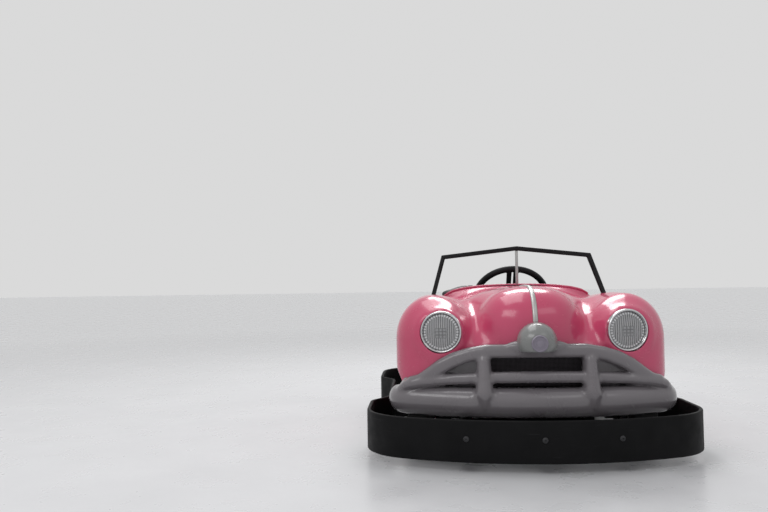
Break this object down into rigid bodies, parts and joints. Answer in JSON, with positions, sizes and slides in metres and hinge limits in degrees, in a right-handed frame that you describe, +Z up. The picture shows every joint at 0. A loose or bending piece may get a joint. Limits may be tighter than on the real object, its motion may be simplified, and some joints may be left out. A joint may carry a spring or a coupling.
{
  "type": "children's amusement kart",
  "caption": "Child-size electric amusement kart with a rounded vintage convertible body inside a black bumper ring, an open windscreen frame and a grille moulding.",
  "frame": {"origin": "on the floor, in the middle of the bumper ring's outline", "axes": "+X to the driver's left, -Y forwards, +Z up"},
  "size_m": [1.044, 1.4998, 0.6755],
  "materials": {
    "cast_grey": "cast",
    "battery_black": "matt",
    "ring_black": "satin",
    "frame_black": "satin",
    "liner_black": "matt",
    "trim_black": "satin",
    "vinyl_black": "vinyl",
    "body_pink": "gloss",
    "moulding_grey": "gloss",
    "mesh_black": "matt",
    "lamp_glass": "fluted",
    "reflector_silver": "polished",
    "ring_chrome": "polished",
    "strip_grey": "satin",
    "badge_grey": "gloss",
    "dome_grey": "gloss",
    "pedal_steel": "brushed",
    "bare_steel": "turned",
    "plate_white": "gloss",
    "wheel_black": "moulded",
    "lamp_red": "gloss",
    "rim_grey": "satin",
    "tyre_black": "rubber"
  },
  "bodies": {
    "chassis": {"axle_bearings": "cast_grey", "battery_pack": "battery_black", "bumper_ring": "ring_black", "chassis_frame": "frame_black", "cockpit_liner": "liner_black", "column_bearings": "frame_black", "dash_panel": "trim_black", "deck_handle": "frame_black", "drive_unit": "cast_grey", "floor_pan": "liner_black", "folded_top": "vinyl_black", "front_axle_beam": "frame_black", "front_body": "body_pink", "grille_bumper": "moulding_grey", "grille_mesh": "mesh_black", "headlamp_lenses": "lamp_glass", "headlamp_reflectors": "reflector_silver", "headlamp_rings": "ring_chrome", "hood_strip": "strip_grey", "nose_badge": "badge_grey", "nose_dome": "dome_grey", "pedals": "pedal_steel", "rear_body": "body_pink", "rear_plate": "plate_white", "ring_mounts": "frame_black", "seat_back": "vinyl_black", "seat_base": "liner_black", "seat_cushion": "vinyl_black", "side_panels": "body_pink", "tail_lamps": "lamp_red", "windscreen_frame": "frame_black", "windscreen_post": "strip_grey"},
    "steering": {"steering_wheel": "wheel_black", "steering_column": "bare_steel"},
    "knuckle_left": {"knuckle_left": "bare_steel"},
    "front_wheel_left": {"front_rim_left": "rim_grey", "front_tyre_left": "tyre_black"},
    "tie_rod_left": {"tie_rod_left": "bare_steel"},
    "knuckle_right": {"knuckle_right": "bare_steel"},
    "front_wheel_right": {"front_rim_right": "rim_grey", "front_tyre_right": "tyre_black"},
    "tie_rod_right": {"tie_rod_right": "bare_steel"},
    "rear_wheels": {"rear_axle": "bare_steel", "rear_rim_left": "rim_grey", "rear_tyre_left": "tyre_black", "rear_rim_right": "rim_grey", "rear_tyre_right": "tyre_black"}
  },
  "joints": [
    {"name": "steering_turn", "type": "hinge", "parent": "chassis", "child": "steering", "pos_m": [0, -0.005, 0.491], "axis": [0, 0.788, 0.6157], "range_deg": [-45, 45]},
    {"name": "knuckle_left_turn", "type": "hinge", "parent": "chassis", "child": "knuckle_left", "pos_m": [0.285, -0.396, 0.13], "axis": [0, 0, 1], "range_deg": [-23, 23]},
    {"name": "front_wheel_left_spin", "type": "hinge", "parent": "knuckle_left", "child": "front_wheel_left", "pos_m": [0.35, -0.396, 0.13], "axis": [1, 0, 0], "continuous": true},
    {"name": "tie_rod_left_swing", "type": "hinge", "parent": "knuckle_left", "child": "tie_rod_left", "pos_m": [0.275, -0.336, 0.158], "axis": [0, 0, 1], "range_deg": [-23, 23]},
    {"name": "knuckle_right_turn", "type": "hinge", "parent": "chassis", "child": "knuckle_right", "pos_m": [-0.285, -0.396, 0.13], "axis": [0, 0, 1], "range_deg": [-23, 23]},
    {"name": "front_wheel_right_spin", "type": "hinge", "parent": "knuckle_right", "child": "front_wheel_right", "pos_m": [-0.35, -0.396, 0.13], "axis": [1, 0, 0], "continuous": true},
    {"name": "tie_rod_right_swing", "type": "hinge", "parent": "knuckle_right", "child": "tie_rod_right", "pos_m": [-0.275, -0.336, 0.158], "axis": [0, 0, 1], "range_deg": [-23, 23]},
    {"name": "rear_axle_spin", "type": "hinge", "parent": "chassis", "child": "rear_wheels", "pos_m": [0, 0.43, 0.13], "axis": [1, 0, 0], "continuous": true}
  ],
  "couplings": [
    {"joint": "knuckle_left_turn", "follows": "steering_turn", "ratio": 0.5},
    {"joint": "tie_rod_left_swing", "follows": "steering_turn", "ratio": -0.5},
    {"joint": "knuckle_right_turn", "follows": "steering_turn", "ratio": 0.5},
    {"joint": "tie_rod_right_swing", "follows": "steering_turn", "ratio": -0.5}
  ]
}
